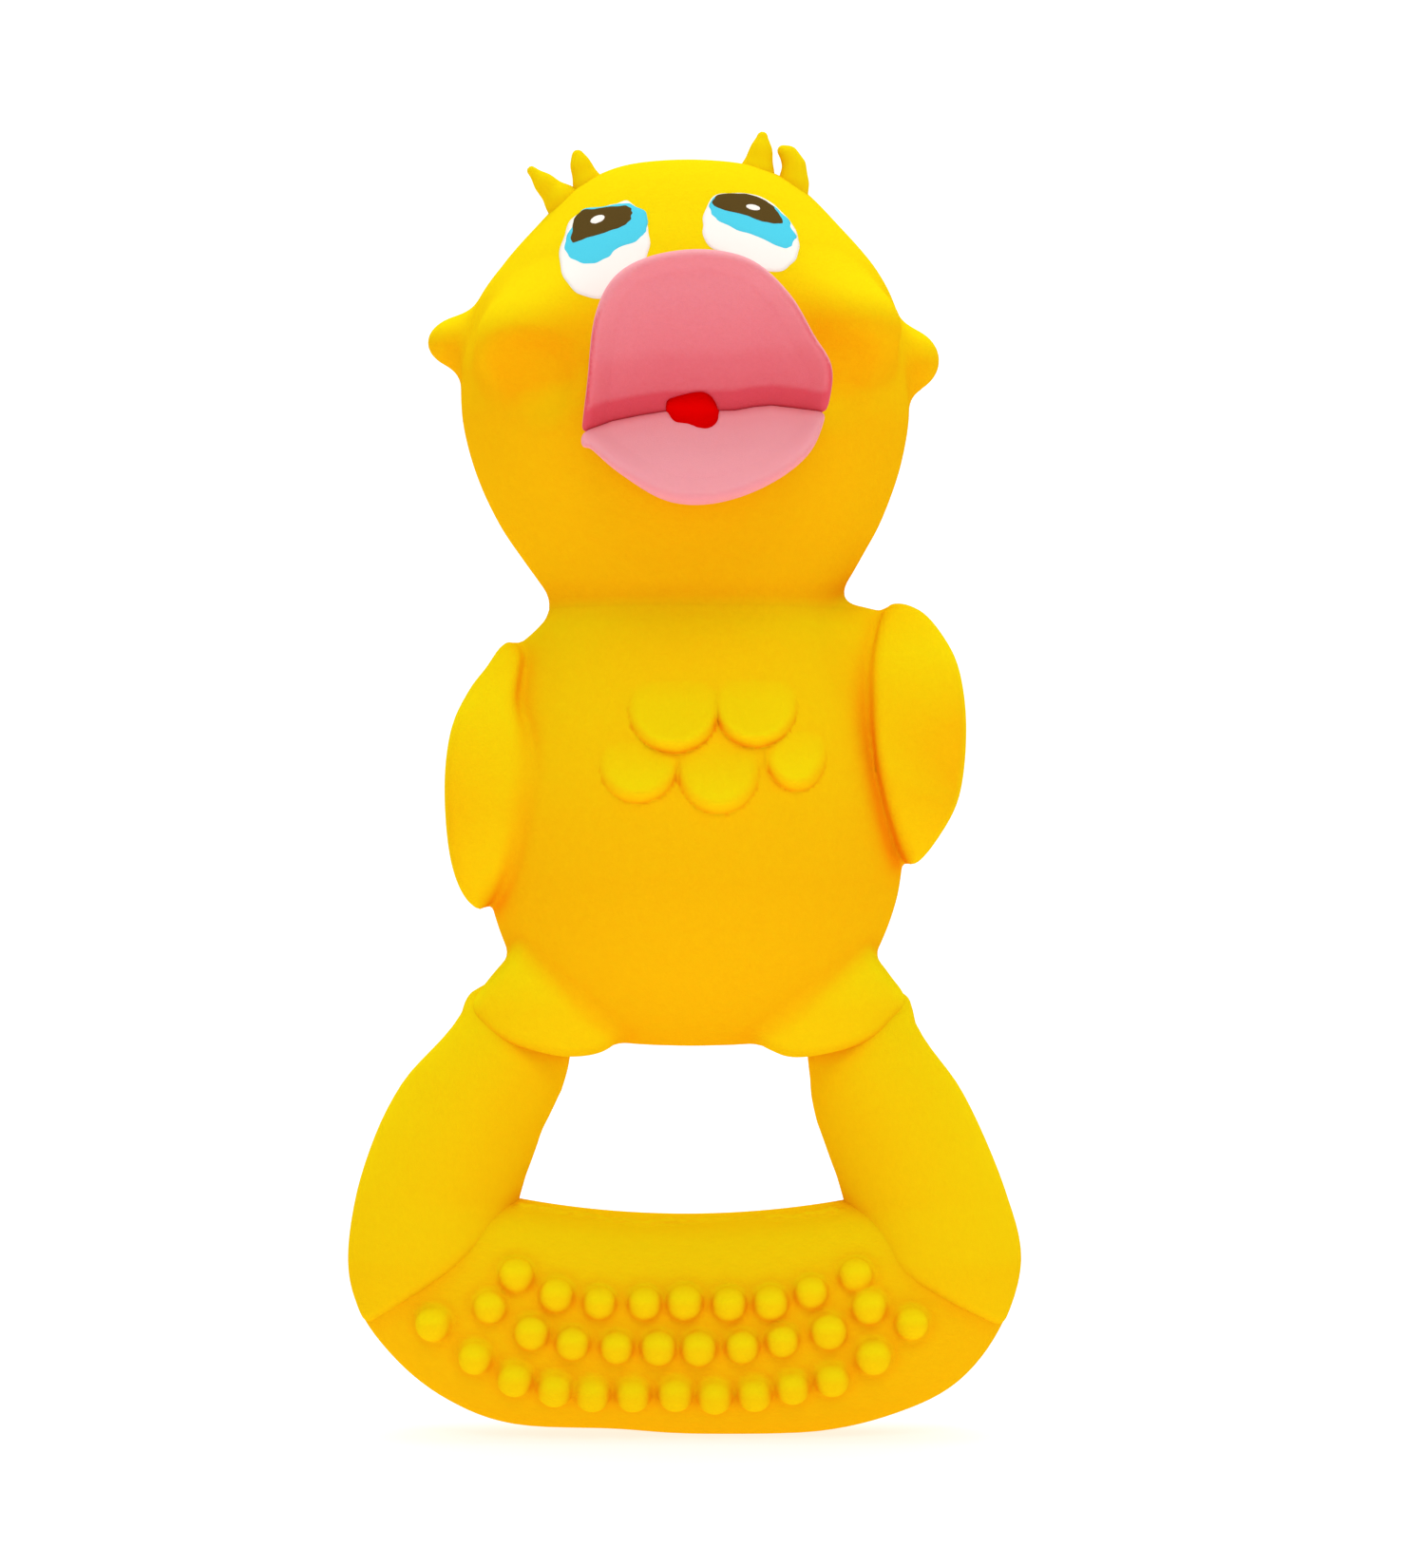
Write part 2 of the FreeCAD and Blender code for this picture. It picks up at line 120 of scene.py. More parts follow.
def ellipsoid(p, centre, radii, lean=0.0):
    """lean tips its top towards +X, in degrees."""
    x, y, z = p[0] - centre[0], p[1] - centre[1], p[2] - centre[2]
    x, z = turned(x, z, -lean)
    a, b, c = radii
    k0 = np.sqrt((x / a) ** 2 + (y / b) ** 2 + (z / c) ** 2)
    k1 = np.sqrt((x / a ** 2) ** 2 + (y / b ** 2) ** 2 + (z / c ** 2) ** 2)
    return k0 * (k0 - 1) / np.maximum(k1, 1e-4)


def tapered(p, stations, k=1.0):
    """A run of balls (x, y, z, r) joined by cones."""
    out = None
    for (x0, y0, z0, r0), (x1, y1, z1, r1) in zip(stations, stations[1:]):
        d = np.array([x1 - x0, y1 - y0, z1 - z0])
        t = ((p[0] - x0) * d[0] + (p[1] - y0) * d[1] + (p[2] - z0) * d[2]) / d.dot(d)
        t = np.clip(t, 0, 1)
        f = np.sqrt((p[0] - x0 - t * d[0]) ** 2 + (p[1] - y0 - t * d[1]) ** 2 + (p[2] - z0 - t * d[2]) ** 2)
        f = f - (r0 + (r1 - r0) * t)
        out = f if out is None else smin(out, f, k)
    return out


def smooth_loop(points, steps=6):
    """A closed Catmull-Rom curve through points."""
    a, b, c, d = (np.roll(np.array(points, float), shift, 0) for shift in (1, 0, -1, -2))
    t = np.linspace(0, 1, steps, endpoint=False)[None, :, None]
    a, b, c, d = (q[:, None, :] for q in (a, b, c, d))
    curve = 0.5 * (2 * b + (c - a) * t + (2 * a - 5 * b + 4 * c - d) * t ** 2
                   + (3 * b - a - 3 * c + d) * t ** 3)
    return curve.reshape(-1, 2)


class Outline:
    """Signed distance to a closed smooth curve in a plane."""

    def __init__(self, points, step=0.3, margin=14.0):
        loop = smooth_loop(points)
        self.low = loop.min(0) - margin
        size = loop.max(0) + margin - self.low
        self.step = step
        axes = [self.low[i] + np.arange(int(size[i] / step) + 2) * step for i in (0, 1)]
        u, v = np.meshgrid(*axes, indexing="ij")
        best = np.full(u.shape, 1e9)
        inside = np.zeros(u.shape, bool)
        for (x0, y0), (x1, y1) in zip(loop, np.roll(loop, -1, 0)):
            dx, dy = x1 - x0, y1 - y0
            t = np.clip(((u - x0) * dx + (v - y0) * dy) / max(dx * dx + dy * dy, 1e-9), 0, 1)
            best = np.minimum(best, (u - x0 - t * dx) ** 2 + (v - y0 - t * dy) ** 2)
            crosses = (y0 > v) != (y1 > v)
            inside ^= crosses & (u < (v - y0) * dx / (dy if dy else 1e-9) + x0)
        self.grid = np.sqrt(best) * np.where(inside, -1, 1)

    def __call__(self, u, v):
        a = np.clip((u - self.low[0]) / self.step, 0, self.grid.shape[0] - 1.001)
        b = np.clip((v - self.low[1]) / self.step, 0, self.grid.shape[1] - 1.001)
        i, j = a.astype(int), b.astype(int)
        s, t = a - i, b - j
        g = self.grid
        return (g[i, j] * (1 - s) * (1 - t) + g[i + 1, j] * s * (1 - t)
                + g[i, j + 1] * (1 - s) * t + g[i + 1, j + 1] * s * t)


def front_y(field, x, z, low=-60.0, high=0.0):
    """The front surface's y at x, z, by halving the interval."""
    x, z = np.broadcast_arrays(np.asarray(x, float), np.asarray(z, float))
    a, b = np.full(x.shape, low), np.full(x.shape, high)
    for _ in range(26):
        m = (a + b) / 2
        inside = field((x, m, z)) < 0
        a, b = np.where(inside, a, m), np.where(inside, m, b)
    return (a + b) / 2


# Head and torso: barrels with these (radius, height above the neck joint) profiles
HEAD_PROFILE = [(0, 55.1), (5, 54.8), (9.6, 53.9), (14.2, 51.4), (18.6, 47.0), (22.7, 42.3), (25.6, 37.6),
                (27.3, 31.5), (27.5, 27.5), (27.3, 22.5), (25.9, 16.6), (23.5, 10.8), (20.8, 6.3), (18.1, 2.2),
                (14.5, -3), (10, -8), (0, -11)]
TORSO_PROFILE = [(0, 9), (10, 5.5), (15.5, 2), (18.6, -1.6), (21.0, -5.5), (23.2, -10.5), (24.9, -16),
                 (25.9, -23), (25.7, -30), (24.8, -36), (22.6, -42), (19.6, -46.6), (15.6, -50.4),
                 (10.6, -52.7),
                 (5, -53.3), (0, -53.4)]
SWAY_HEIGHT = [-54, -42, -35, -21, -4, 4, 8, 14, 20, 29, 38, 42, 47, 55]
SWAY_X = [-0.4, -0.35, -0.2, -0.2, 0, -0.3, -0.6, -0.9, -1.1, -1.35, -1.2, -0.9, -0.9, -0.9]
FLATTER_FRONT = {"head": 0.94, "torso": 0.93}


def round_profile(profile):
    return Outline(profile + [(-r, z) for r, z in profile[::-1] if r > 0])


HEAD = round_profile(HEAD_PROFILE)
TORSO = round_profile(TORSO_PROFILE)


def barrel(p, outline, front):
    """A body of revolution that sways a little and is flatter in front, except at the neck, where it turns."""
    height = p[2] - NECK[2]
    x = p[0] - NECK[0] - np.interp(height, SWAY_HEIGHT, SWAY_X)
    near_neck = np.exp(-(height / 6.0) ** 2)
    ratio = np.where(p[1] < 0, front + (1 - front) * near_neck, 1.0)
    return outline(np.sqrt(x ** 2 + (p[1] / ratio) ** 2), height) * ratio


def plain_torso(p):
    f = barrel(p, TORSO, FLATTER_FRONT["torso"])
    f = smin(f, ellipsoid(p, NECK + (-18.7, 0, -15.0), (9.5, 12.0, 10.4)), 4.0)
    return smin(f, ellipsoid(p, NECK + (19.0, 1.0, -10.0), (11.0, 12.0, 10.4), lean=-10), 4.0)


# Wings: (distance in from the node's outer side, height above its lower end); the pads thicken outwards
WING_SHAPES = {
    "left": [(5.2, 28.1), (3.2, 25.3), (1.2, 20.9), (0.3, 14.8), (0.5, 7.7), (1.6, 2.2), (3.3, -0.8),
             (5.1, -0.9),
             (8.9, 3.8), (11.4, 10.7), (11.5, 15.5), (10.4, 19.8), (9.2, 24.0), (9.6, 29.3), (8.2, 31.2),
             (6.8, 30.6)],
    "right": [(9.2, 30.9), (5.5, 30.6), (2.5, 27.1), (0.6, 22.7), (-0.2, 15.7), (0.5, 7.9), (3.2, 2.7),
              (5.8, -0.4),
              (7.5, 0.7), (9.4, 5.7), (10.9, 12.7), (11.4, 18.7), (11.2, 24.7)]}
WING_STAND = 1.5
WING_THICKENS = {"left": 0.5, "right": 0.6}
WING_HALF_DEPTH = 14.5

# Thigh cuffs: (x from the node's middle, height above its hem)
CUFF_SHAPES = {
    "left": [(-2.65, 13.8), (-5.55, 10.9), (-8.15, 7.7), (-9.65, 5.1), (-9.45, 3.2), (-7.35, 2.0), (-2.65, 0.8),
             (2.65, -0.2), (7.45, 0.7), (9.85, 4.2), (8.85, 11.2), (2.85, 15.2)],
    "right": [(3.85, 13.8), (6.45, 11.5), (8.35, 9.1), (10.35, 6.4), (10.55, 4.2), (9.25, 2.7), (5.05, 1.3),
              (-2.05, -0.2), (-5.95, 0.3), (-8.95, 3.2), (-7.95, 12.2), (-1.95, 15.2)]}
SIGN = {"left": -1, "right": 1}

# Chest feathers: (x from the node's middle, height above its lower edge, half width, half height) and stand
FEATHER_ROWS = {"lower_chest_feathers": (1.8, [(-8.6, 5.8, 4.4, 4.0), (0.9, 5.2, 4.6, 4.7),
                                               (10.1, 7.2, 3.4, 4.0)]),
                "upper_chest_feathers": (2.4, [(-4.5, 5.8, 5.2, 4.8), (5.2, 6.2, 4.7, 4.5)])}

FEATHER_LIP = 2.0


def make_feathers():
    """Each feather as (x, z, half width, half height, stand)."""
    feathers = []
    for node, (stand, rows) in FEATHER_ROWS.items():
        low, high = box(node)
        for x, z, half_width, half_height in rows:
            feathers.append(((low[0] + high[0]) / 2 + x, low[2] + z, half_width, half_height, stand))
    return feathers


def make_wing(side):
    low, high = box(f"{side}_wing")
    outer = low[0] if side == "left" else high[0]
    shape = [(outer - SIGN[side] * inward, low[2] + up) for inward, up in WING_SHAPES[side]]
    heights = [z for x, z in shape]
    return {"outline": Outline(shape), "sign": SIGN[side], "thickens": WING_THICKENS[side],
            "edge": outer - SIGN[side] * max(inward for inward, up in WING_SHAPES[side]),
            "middle": (min(heights) + max(heights)) / 2, "half": (max(heights) - min(heights)) / 2 + 3.2}


def make_cuff(side):
    low, high = box(f"{side}_thigh_cuff")
    return Outline(moved(CUFF_SHAPES[side], (low[0] + high[0]) / 2, low[2]))


WINGS = [make_wing(side) for side in SIGN]
CUFFS = {side: make_cuff(side) for side in SIGN}
FEATHERS = make_feathers()
LIP_RADIUS = 1.7
SQUEAKER_FRONT, SQUEAKER_BACK = box("squeaker_cup")[0][1], box("squeaker_cup")[1][1]


def wing(p, torso, pad):
    outward = np.maximum(pad["sign"] * (p[0] - pad["edge"]), 0)
    face = torso - WING_STAND - pad["thickens"] * outward
    side = ellipsoid((p[0] * 0, p[1], p[2]), (0, -1.5, pad["middle"]), (100, WING_HALF_DEPTH, pad["half"]))
    return smax(smax(pad["outline"](p[0], p[2]), face * 0.85, 1.3), side, 2.5)


def cuff(p, side):
    ball = ellipsoid(p, (SIGN[side] * 13.6, 0, HIP[2] + 3), (14.0, 13.2, 14.0))
    return smax(CUFFS[side](p[0], p[2]), ball, 1.6)


def feather_relief(p):
    """How far the chest feathers stand out of the torso: full at the lip, fading to nothing at the top."""
    relief = np.zeros(p[0].shape)
    for x, z, half_width, half_height, stand in FEATHERS:
        flat = ellipsoid((p[0], p[1] * 0, p[2]), (x, 0, z), (half_width, 50, half_height))
        t = np.clip((0.3 - flat) / FEATHER_LIP, 0, 1)
        fade = np.clip((z + 0.75 * half_height - p[2]) / (1.5 * half_height), 0, 1) ** 1.3
        relief = np.maximum(relief, stand * fade * (1 - (1 - t) ** 2.6))
    return relief * np.clip(-p[1] / 6, 0, 1)


def torso_field(p):
    torso = plain_torso(p)
    f = torso - feather_relief(p)
    for pad in WINGS:
        f = smin(f, wing(p, torso, pad), 1.1)
    for side in SIGN:
        f = smin(f, cuff(p, side), 1.2)
    from_axis = np.sqrt((p[0] - SQUEAKER[0]) ** 2 + (p[2] - SQUEAKER[2]) ** 2)
    lip = np.sqrt((from_axis - SQUEAKER_RADIUS - 1.9) ** 2 + (p[1] - SQUEAKER_BACK - 0.3) ** 2) - LIP_RADIUS
    seat = np.maximum(from_axis - SQUEAKER_RADIUS - 0.05, SQUEAKER_FRONT - 0.8 - p[1])
    return smax(smin(f, lip, 1.2), -seat, 0.5)


# Head details, as (offset from the neck joint, radii, lean)
CHEEKS = [((-18.2, -15.0, 32.6), (8.0, 7.5, 5.6), -12), ((17.2, -14.0, 34.4), (7.6, 7.5, 5.2), 12)]
CHEEK_HOLLOWS = [((-20.8, -21.8, 26.4), (4.6, 3.2, 3.6)), ((19.0, -21.2, 25.8), (4.2, 3.2, 3.4))]


# Each cheek nub's middle, and its reach, half height and rise
CHEEK_NUBS = [(middle("left_cheek_nub"), -1, 5.9, 3.6, 0.2), (middle("right_cheek_nub"), 1, 5.1, 4.2, -0.4)]


def head_field(p):
    f = barrel(p, HEAD, FLATTER_FRONT["head"])
    for offset, radii, lean in CHEEKS:
        f = smin(f, ellipsoid(p, NECK + offset, radii, lean=lean), 4.0)
    for offset, radii in CHEEK_HOLLOWS:
        f = smax(f, -ellipsoid(p, NECK + offset, radii), 4.0)
    for (x, y, z), sign, reach, half_height, rise in CHEEK_NUBS:
        f = smin(f, ellipsoid(p, (x - sign * 2.8, 0, z + rise), (reach, 4.0, half_height)), 2.2)
    return f


def figure(p):
    return smin(head_field(p), torso_field(p), 2.6)


# The head and the torso each run on inside the other past the neck, so that no gap opens as it bends
PLUG_DEPTH, PLUG_SLOPE = 6.0, 0.6


def head_piece(p):
    past = NECK[2] - p[2]
    return np.maximum(figure(p) + PLUG_SLOPE * np.maximum(past, 0), past - PLUG_DEPTH)


def torso_piece(p):
    past = p[2] - NECK[2]
    return np.maximum(figure(p) + PLUG_SLOPE * np.maximum(past, 0), past - PLUG_DEPTH)


# Handle: its outer outline as (x, height above the floor), from the left hip round the bar to the right hip
HANDLE = Outline(moved([(-27.4, 51.7), (-34.8, 42.9), (-39.2, 33.4), (-41.4, 22.9), (-40.2, 15.6), (-35.4, 9.0),
                        (-29.0, 4.1), (-21.0, 1.2), (-8.4, 0.6), (2.1, -0.1), (16.1, 0.3), (26.0, 2.6),
                        (33.4, 6.4),
                        (38.6, 13.0), (41.2, 21.4), (38.9, 30.7), (34.0, 41.8), (28.1, 50.5), (24.0, 63.0),
                        (-24.0, 63.0)], 0.0, BAR_LOW[2]))
BAR_TOP_CURVE = 0.0045
BAR_HALF_DEPTH = 11.0
LEG_DEPTH_RATIO = 1.1
# (x, height above the hip, radius) down each leg
LEGS = {"left": [(-18.6, 2, 5.2), (-22.6, -4.5, 7.8), (-26.3, -9.6, 8.9), (-29.2, -16, 9.4),
                 (-31.3, -22.5, 9.5),
                 (-31.2, -29, 10.2), (-31.0, -34, 9.9)],
        "right": [(19.0, 2, 5.2), (23.2, -4.5, 7.5), (25.1, -9.6, 8.8), (27.9, -16, 9.2), (30.2, -22.5, 9.5),
                  (30.9, -29.5, 10.3), (30.6, -34, 10.0)]}
# The crease between leg and bar: its upper end as (x, height above the bar's top) and the way it runs
LEG_CREASES = {"left": ((-24.4, -3.4), (-12.9, -8.9)), "right": ((21.6, -4.0), (14.4, -8.2))}
NUB_COUNTS = {"upper_chew_nubs": 9, "middle_chew_nubs": 10, "lower_chew_nubs": 13}
NUB_RADIUS = 2.1
NUB_FORWARD = 0.4


def plain_bar(p):
    flat = smax(HANDLE(p[0], p[2]), p[2] - BAR_HIGH[2] - BAR_TOP_CURVE * p[0] ** 2, 2.0)
    inner = np.maximum(flat + 12.6, 0) / 12.6
    f = ((inner ** 2.5 + (np.abs(p[1]) / BAR_HALF_DEPTH) ** 2.5) ** 0.4 - 1) * 11.0
    return smax(f, BAR_LOW[2] - p[2], 0.5)


def leg_field(p, side):
    stations = [(x, 0, HIP[2] + z, r) for x, z, r in LEGS[side]]
    f = smax(tapered((p[0], p[1] / LEG_DEPTH_RATIO, p[2]), stations, 3.0), HANDLE(p[0], p[2]), 1.2)
    (x, z), (run, drop) = LEG_CREASES[side]
    length = math.hypot(run, drop)
    across = SIGN[side] * ((p[0] - x) * drop - (p[2] - BAR_HIGH[2] - z) * run) / length
    return smax(f, across, 1.6)


def nub_centres():
    """Rows that curve up towards their ends, a little uneven, as hand-cut moulds leave them."""
    uneven = np.random.default_rng(5)
    centres = []
    for node, count in NUB_COUNTS.items():
        low, high = box(node)
        for k in range(count):
            share = 2 * k / (count - 1) - 1
            x = (low[0] + high[0]) / 2 + ((high[0] - low[0]) / 2 - NUB_RADIUS) * share
            z = low[2] + NUB_RADIUS + (high[2] - low[2] - 2 * NUB_RADIUS) * abs(share) ** 3.4
            x, z = x + uneven.uniform(-0.3, 0.3), z + uneven.uniform(-0.2, 0.2)
            radius = NUB_RADIUS + uneven.uniform(-0.12, 0.12)
            centres.append((x, float(front_y(plain_bar, x, z)) - NUB_FORWARD, z, radius))
    return centres


NUBS = nub_centres()


FLASH_Y = -4.6


def flash_stations():
    """The thin uneven rib that the mould's joint leaves along the top of the bar."""
    uneven = np.random.default_rng(8)
    stations = []
    for x in np.linspace(-20.2, 18.6, 44):
        y = FLASH_Y + 0.5 * math.sin(x * 0.3)
        low, high = BAR_HIGH[2] - 12, BAR_HIGH[2] + 12
        for _ in range(24):
            z = (low + high) / 2
            inside = plain_bar((np.array(x), np.array(y), np.array(z))) < 0
            low, high = (z, high) if inside else (low, z)
        stations.append((x, y, low + uneven.uniform(-0.15, 0.2), 0.42 + uneven.uniform(-0.12, 0.14)))
    return stations


FLASH = flash_stations()


def bar_field(p):
    f = plain_bar(p)
    for x, y, z, r in NUBS:
        f = smin(f, np.sqrt((p[0] - x) ** 2 + ((p[1] - y) / 0.92) ** 2 + (p[2] - z) ** 2) - r, 0.8)
    near = np.abs(p[1] - FLASH_Y) < 3.0
    if near.any():
        f = f.copy()
        f[near] = smin(f[near], tapered(tuple(c[near] for c in p), FLASH, 0.2), 0.5)
    return f


def handle(p):
    return smin(smin(bar_field(p), leg_field(p, "left"), 0.8), leg_field(p, "right"), 0.8)


# Bill: its rim as offsets from its middle, and its crease as (x from the middle, height above the jaw's hinge)
RIM = Outline(moved([(-14.65, -7.2), (-13.9, -0.6), (-12.95, 6.85), (-10.7, 11.45), (-6.35, 13.9),
                     (-0.15, 14.65),
                     (5.4, 13.35), (9.65, 9.55), (12.45, 4.95), (14.65, 1.0), (13.9, -4.3), (11.8, -8.9),
                     (6.9, -12.5), (0.8, -14.5), (-4.75, -14.15), (-10.05, -11.05), (-13.4, -8.2)],
                    BILL_MIDDLE[0], BILL_MIDDLE[2]))
CREASE = np.array([(-14.6, -2.4), (-11.1, -1.0), (-7.9, -0.3), (-4.8, 0.2), (3.3, 0.3), (5.5, 0.7), (7.6, 0.9),
                   (10.7, 0.5), (13.8, 0.0)])
CREASE_FORWARD = {"upper": 0.7, "lower": 1.5}
BILL_PINCH = 0.22
RIM_BAND, RIM_STAND = 1.8, 0.6
# The painted hole in the crease, as offsets from the throat's middle
SPOT = Outline(moved([(-3.05, 0.75), (-2.3, 1.5), (1.15, 2.2), (2.75, 0.95), (3.05, -1.15), (2.1, -2.2),
                      (0.85, -2.2), (-0.4, -1.7), (-1.9, -1.45), (-2.7, -0.5)], THROAT[0], THROAT[2]),
               step=0.15)


def crease(x):
    return JAW_HINGE[2] + np.interp(x - BILL_MIDDLE[0], CREASE[:, 0], CREASE[:, 1])


def bill_wall(p):
    """The outer wall: full size at the rim and pinched behind it."""
    back = np.clip((p[1] - JAW_HINGE[1] + 2.1) / 9.0, 0, 1)
    share = 1 - BILL_PINCH * back ** 1.4
    x = BILL_MIDDLE[0] + (p[0] - BILL_MIDDLE[0]) / share
    z = BILL_MIDDLE[2] + (p[2] - BILL_MIDDLE[2]) / share
    return RIM(x, z) * share


def mouth(p, half):
    """The y of the bill's inner face: deepest at the crease, with a raised band round the rim."""
    deepest = JAW_HINGE[1] - CREASE_FORWARD[half]
    reach = 18.5 if half == "upper" else 10.5
    away = np.abs(p[2] - crease(p[0])) / reach
    sideways = 0.055 * np.maximum(np.abs(p[0] - BILL_MIDDLE[0]) - 6, 0) ** 1.6
    face = BILL_RIM_Y + RIM_STAND + (deepest - BILL_RIM_Y - RIM_STAND) * np.clip(1 - away, 0, 1) ** 1.7
    face = face - sideways
    band = np.clip((-RIM(p[0], p[2]) - RIM_BAND * 0.5) / RIM_BAND, 0, 1)
    return np.maximum(face - RIM_STAND * (1 - band), BILL_RIM_Y)


def upper_field(p):
    """The upper half, and the whole root of the bill behind the jaw's hinge."""
    above = smax((mouth(p, "upper") - p[1]) * 0.85, crease(p[0]) - p[2], 0.6)
    root = JAW_HINGE[1] + 0.3 - p[1]
    f = smax(bill_wall(p), smin(above, root, 0.3), 1.0)
    f = np.maximum(f, p[1] + 20.0)
    return np.maximum(f, -np.maximum(SPOT(p[0], p[2]), p[1] + 24.0))


def lower_field(p):
    front = smax((mouth(p, "lower") - p[1]) * 0.85, p[2] - crease(p[0]) - 0.1, 0.8)
    f = smax(smax(bill_wall(p), front, 1.0), p[1] - JAW_HINGE[1] - 0.9, 0.5)
    return np.maximum(f, -np.maximum(SPOT(p[0], p[2]), p[1] + 24.0))


def throat_field(p):
    face = JAW_HINGE[1] - 0.75
    return np.maximum(SPOT(p[0], p[2]) - 0.12, np.abs(p[1] - face - 2.0) - 2.0)


def everything(p):
    f = np.minimum(figure(p), handle(p))
    return np.minimum(f, np.minimum(upper_field(p), lower_field(p)))


# Meshing

def samples(field, low, high, step):
    axes = [np.arange(int((high[i] - low[i]) / step) + 2) * step + low[i] for i in range(3)]
    out = np.empty([len(a) for a in axes], np.float32)
    for start in range(0, len(axes[0]), 12):
        x = axes[0][start:start + 12]
        out[start:start + len(x)] = field(np.meshgrid(x, axes[1], axes[2], indexing="ij"))
    return out


def surface_nets(values, low, step):
    """Quads through the cells where the field changes sign."""
    inside = values < 0
    nx, ny, nz = values.shape
    total = np.zeros((nx - 1, ny - 1, nz - 1, 3), np.float32)
    count = np.zeros((nx - 1, ny - 1, nz - 1), np.float32)
    corner = [slice(0, -1), slice(1, None)]
    for axis in range(3):
        others = [i for i in range(3) if i != axis]
        for u in (0, 1):
            for v in (0, 1):
                at, to = [None] * 3, [None] * 3
                at[axis], to[axis] = corner[0], corner[1]
                at[others[0]] = to[others[0]] = corner[u]
                at[others[1]] = to[others[1]] = corner[v]
                a, b = values[tuple(at)], values[tuple(to)]
                cross = inside[tuple(at)] != inside[tuple(to)]
                t = np.where(cross, a / np.where(cross, a - b, 1), 0)
                total[..., axis] += t
                total[..., others[0]] += cross * u
                total[..., others[1]] += cross * v
                count += cross
    cells = count > 0
    number = np.full(cells.shape, -1, np.int64)
    number[cells] = np.arange(cells.sum())
    place = np.argwhere(cells) + total[cells] / count[cells][:, None]
    quads = []
    for axis in range(3):
        u, v = [(1, 2), (2, 0), (0, 1)][axis]
        at, to = [slice(1, -1)] * 3, [slice(1, -1)] * 3
        at[axis], to[axis] = slice(0, -1), slice(1, None)
        a, b = inside[tuple(at)], inside[tuple(to)]
        base = np.argwhere(a != b)
        leaves = a[a != b]
        base[:, u] += 1
        base[:, v] += 1
        ids = []
        for du, dv in ((-1, -1), (0, -1), (0, 0), (-1, 0)):
            c = base.copy()
            c[:, u] += du
            c[:, v] += dv
            ids.append(number[c[:, 0], c[:, 1], c[:, 2]])
        quad = np.stack(ids, 1)
        quad[~leaves] = quad[~leaves][:, ::-1]
        quads.append(quad)
    return place * step + np.array(low), np.concatenate(quads)


def gradient(field, pts, e=0.05):
    g = np.empty_like(pts)
    for i in range(3):
        d = np.zeros(3)
        d[i] = e
        g[:, i] = (field(tuple((pts + d).T)) - field(tuple((pts - d).T))) / (2 * e)
    return g


def settle(field, pts, rounds=3):
    """Moves points onto the field's zero surface."""
    for _ in range(rounds):
        g = gradient(field, pts)
        move = field(tuple(pts.T))[:, None] * g / np.maximum((g ** 2).sum(1), 0.05)[:, None]
        length = np.sqrt((move ** 2).sum(1))[:, None]
        pts = pts - move * np.minimum(1, 0.35 / np.maximum(length, 1e-6))
    return pts


def make_object(name, verts, faces, material):
    mesh = bpy.data.meshes.new(name)
    points = [tuple(v) for v in np.asarray(verts) / 1000.0]
    mesh.from_pydata(points, [], [tuple(int(i) for i in f) for f in faces])
    mesh.polygons.foreach_set("use_smooth", [True] * len(mesh.polygons))
    mesh.materials.append(material)
    obj = bpy.data.objects.new(name, mesh)
    bpy.context.scene.collection.objects.link(obj)
    return obj


def shade_from(obj, pts, normals, strength, plain):
    """Stores the painted shade: how much each point faces down or lies in a crease, less where it stands out of
    the plain body, which is painted lighter.
    """
    # Painted shade: undersides and creases get a darker colour and raised parts a lighter one, standing in for
    # the lamp from above and the shadow in hollows.
    facing_down = np.clip(0.52 - 0.75 * normals[:, 2], 0, 0.62)
    raised = np.clip(plain(tuple(pts.T)) / 2, 0, 1) if plain else 0
    near, far = (np.clip(1 - everything(tuple((pts + normals * d).T)) / d, 0, 1) for d in (1.6, 5.0))
    shade = strength * np.clip(facing_down + 0.42 * near + 0.15 * far - 0.3 * raised, 0, 1)
    obj.data.attributes.new("shade", "FLOAT", "POINT").data.foreach_set("value", shade.astype(np.float32))


def field_object(name, field, low, high, step, material, skin=None, strength=1.0, plain=None):
    """A closed mesh of the field with its painted shade, which strength scales and which plain turns lighter on
    raised parts; a piece cut out of a larger skin takes that skin's normals.
    """
    verts, quads = surface_nets(samples(field, low, high, step), low, step)
    verts = settle(field, verts)
    obj = make_object(name, verts, quads, material)
    g = gradient(skin or field, verts)
    normals = g / np.maximum(np.sqrt((g ** 2).sum(1)), 1e-6)[:, None]
    if skin:
        obj.data.normals_split_custom_set_from_vertices([tuple(n) for n in normals])
    shade_from(obj, verts, normals, strength, plain)
    return obj


# Materials

def principled(name):
    mat = bpy.data.materials.new(name)
    mat.use_nodes = True
    nodes = mat.node_tree.nodes
    return mat, nodes, mat.node_tree.links, nodes["Principled BSDF"]


def linear(r, g, b):
    """A linear colour from 0 to 255 values."""
    def one(c):
        c /= 255
        return c / 12.92 if c <= 0.04045 else ((c + 0.055) / 1.055) ** 2.4
    return (one(r), one(g), one(b), 1.0)


def add_math(nodes, links, first, factor, second):
    """first * factor + second, where second is an output or a number."""
    node = nodes.new("ShaderNodeMath")
    node.operation = "MULTIPLY_ADD"
    node.inputs[1].default_value = factor
    links.new(first, node.inputs[0])
    if isinstance(second, float):
        node.inputs[2].default_value = second
    else:
        links.new(second, node.inputs[2])
    return node.outputs[0]


def noise(nodes, scale, detail):
    node = nodes.new("ShaderNodeTexNoise")
    node.inputs["Scale"].default_value = scale
    node.inputs["Detail"].default_value = detail
    return node.outputs["Fac"]


GRAIN_DEPTH = 0.00012
FLECK_FROM, FLECK_FULL = 0.70, 0.75


